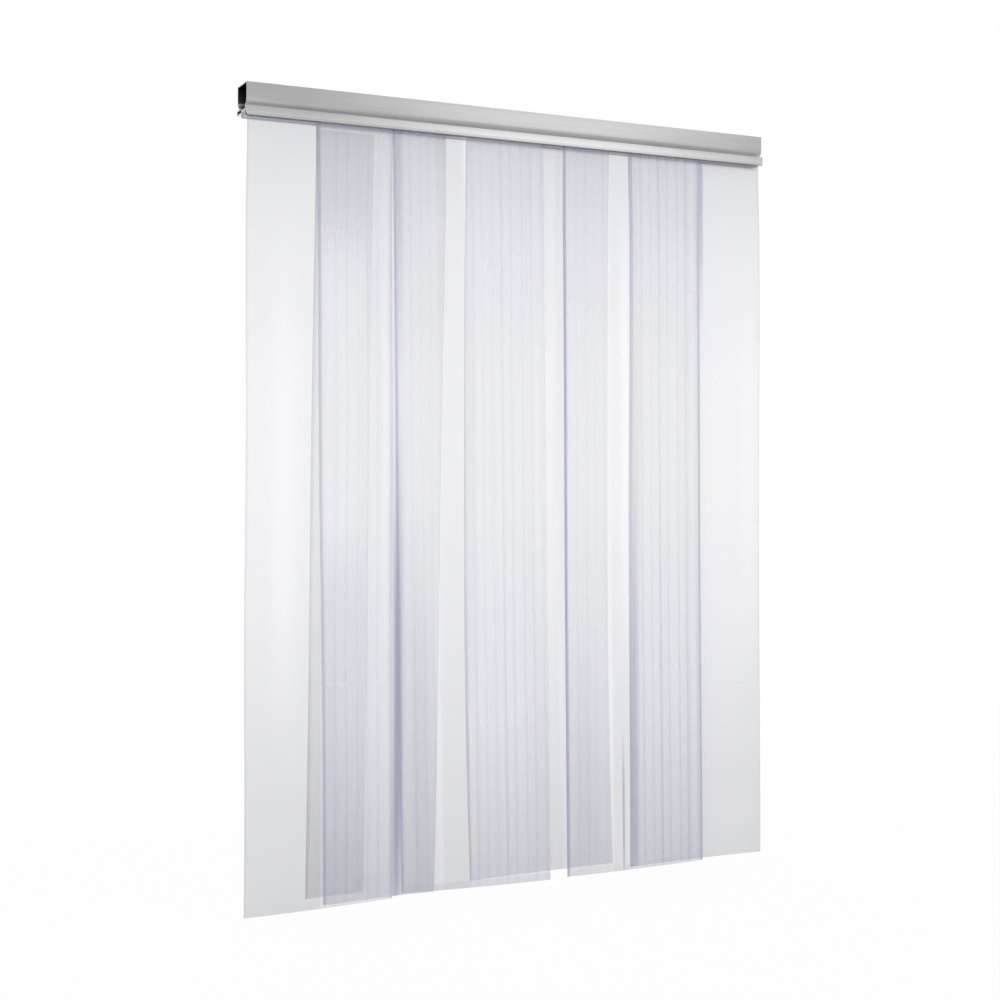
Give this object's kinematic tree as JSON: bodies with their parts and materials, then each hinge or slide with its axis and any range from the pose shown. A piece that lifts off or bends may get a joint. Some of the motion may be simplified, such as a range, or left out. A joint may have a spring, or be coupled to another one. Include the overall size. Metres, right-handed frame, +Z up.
{
  "type": "pvc door curtain",
  "caption": "Clear PVC strip door curtain: overlapping transparent strips hang by beads from an extruded aluminium rail and swing apart as someone walks through.",
  "frame": {"origin": "middle of the middle bracket's back face, where it lies on the wall, halfway up the rail's upper box", "axes": "+X along the rail to the right seen from the front, +Y into the wall, +Z up"},
  "size_m": [1.4252, 0.083, 1.9108],
  "materials": {
    "aluminium": "satin grey anodised extrusion",
    "clear_pvc": "clear flexible PVC, glossy, faintly blue",
    "bead_pvc": "milky PVC rod",
    "nylon": "black nylon",
    "steel": "zinc plated"
  },
  "bodies": {
    "root": {"header_rail": "aluminium", "wall_bracket_left": "aluminium", "wall_bracket_middle": "aluminium", "wall_bracket_right": "aluminium", "plug_front_left": "nylon", "plug_back_left": "nylon", "plug_front_right": "nylon", "plug_back_right": "nylon", "screw_front_left": "steel", "screw_back_left": "steel", "screw_front_right": "steel", "screw_back_right": "steel", "spacer_rod_1": "nylon", "spacer_rod_2": "nylon", "spacer_rod_3": "nylon", "spacer_rod_4": "nylon", "spacer_rod_5": "nylon"},
    "hanging_1": {"strip_1": "clear_pvc", "bead_1": "bead_pvc"},
    "hanging_2": {"strip_2": "clear_pvc", "bead_2": "bead_pvc", "strip_2_lining": "clear_pvc"},
    "hanging_3": {"strip_3": "clear_pvc", "bead_3": "bead_pvc"},
    "hanging_4": {"strip_4": "clear_pvc", "bead_4": "bead_pvc"},
    "hanging_5": {"strip_5": "clear_pvc", "bead_5": "bead_pvc"},
    "hanging_6": {"strip_6": "clear_pvc", "bead_6": "bead_pvc"}
  },
  "joints": [
    {"name": "strip_1_swing", "type": "hinge", "parent": "root", "child": "hanging_1", "pos_m": [-0.5225, -0.06808, -0.0515], "axis": [1, 0, 0], "range_deg": [-50, 0]},
    {"name": "strip_2_swing", "type": "hinge", "parent": "root", "child": "hanging_2", "pos_m": [-0.363, -0.04808, -0.0515], "axis": [1, 0, 0], "range_deg": [0, 50]},
    {"name": "strip_3_swing", "type": "hinge", "parent": "root", "child": "hanging_3", "pos_m": [-0.143, -0.06808, -0.0515], "axis": [1, 0, 0], "range_deg": [-50, 0]},
    {"name": "strip_4_swing", "type": "hinge", "parent": "root", "child": "hanging_4", "pos_m": [0.057, -0.04808, -0.0515], "axis": [1, 0, 0], "range_deg": [0, 50]},
    {"name": "strip_5_swing", "type": "hinge", "parent": "root", "child": "hanging_5", "pos_m": [0.314, -0.06808, -0.0515], "axis": [1, 0, 0], "range_deg": [-50, 0]},
    {"name": "strip_6_swing", "type": "hinge", "parent": "root", "child": "hanging_6", "pos_m": [0.514, -0.04808, -0.0515], "axis": [1, 0, 0], "range_deg": [0, 50]}
  ]
}
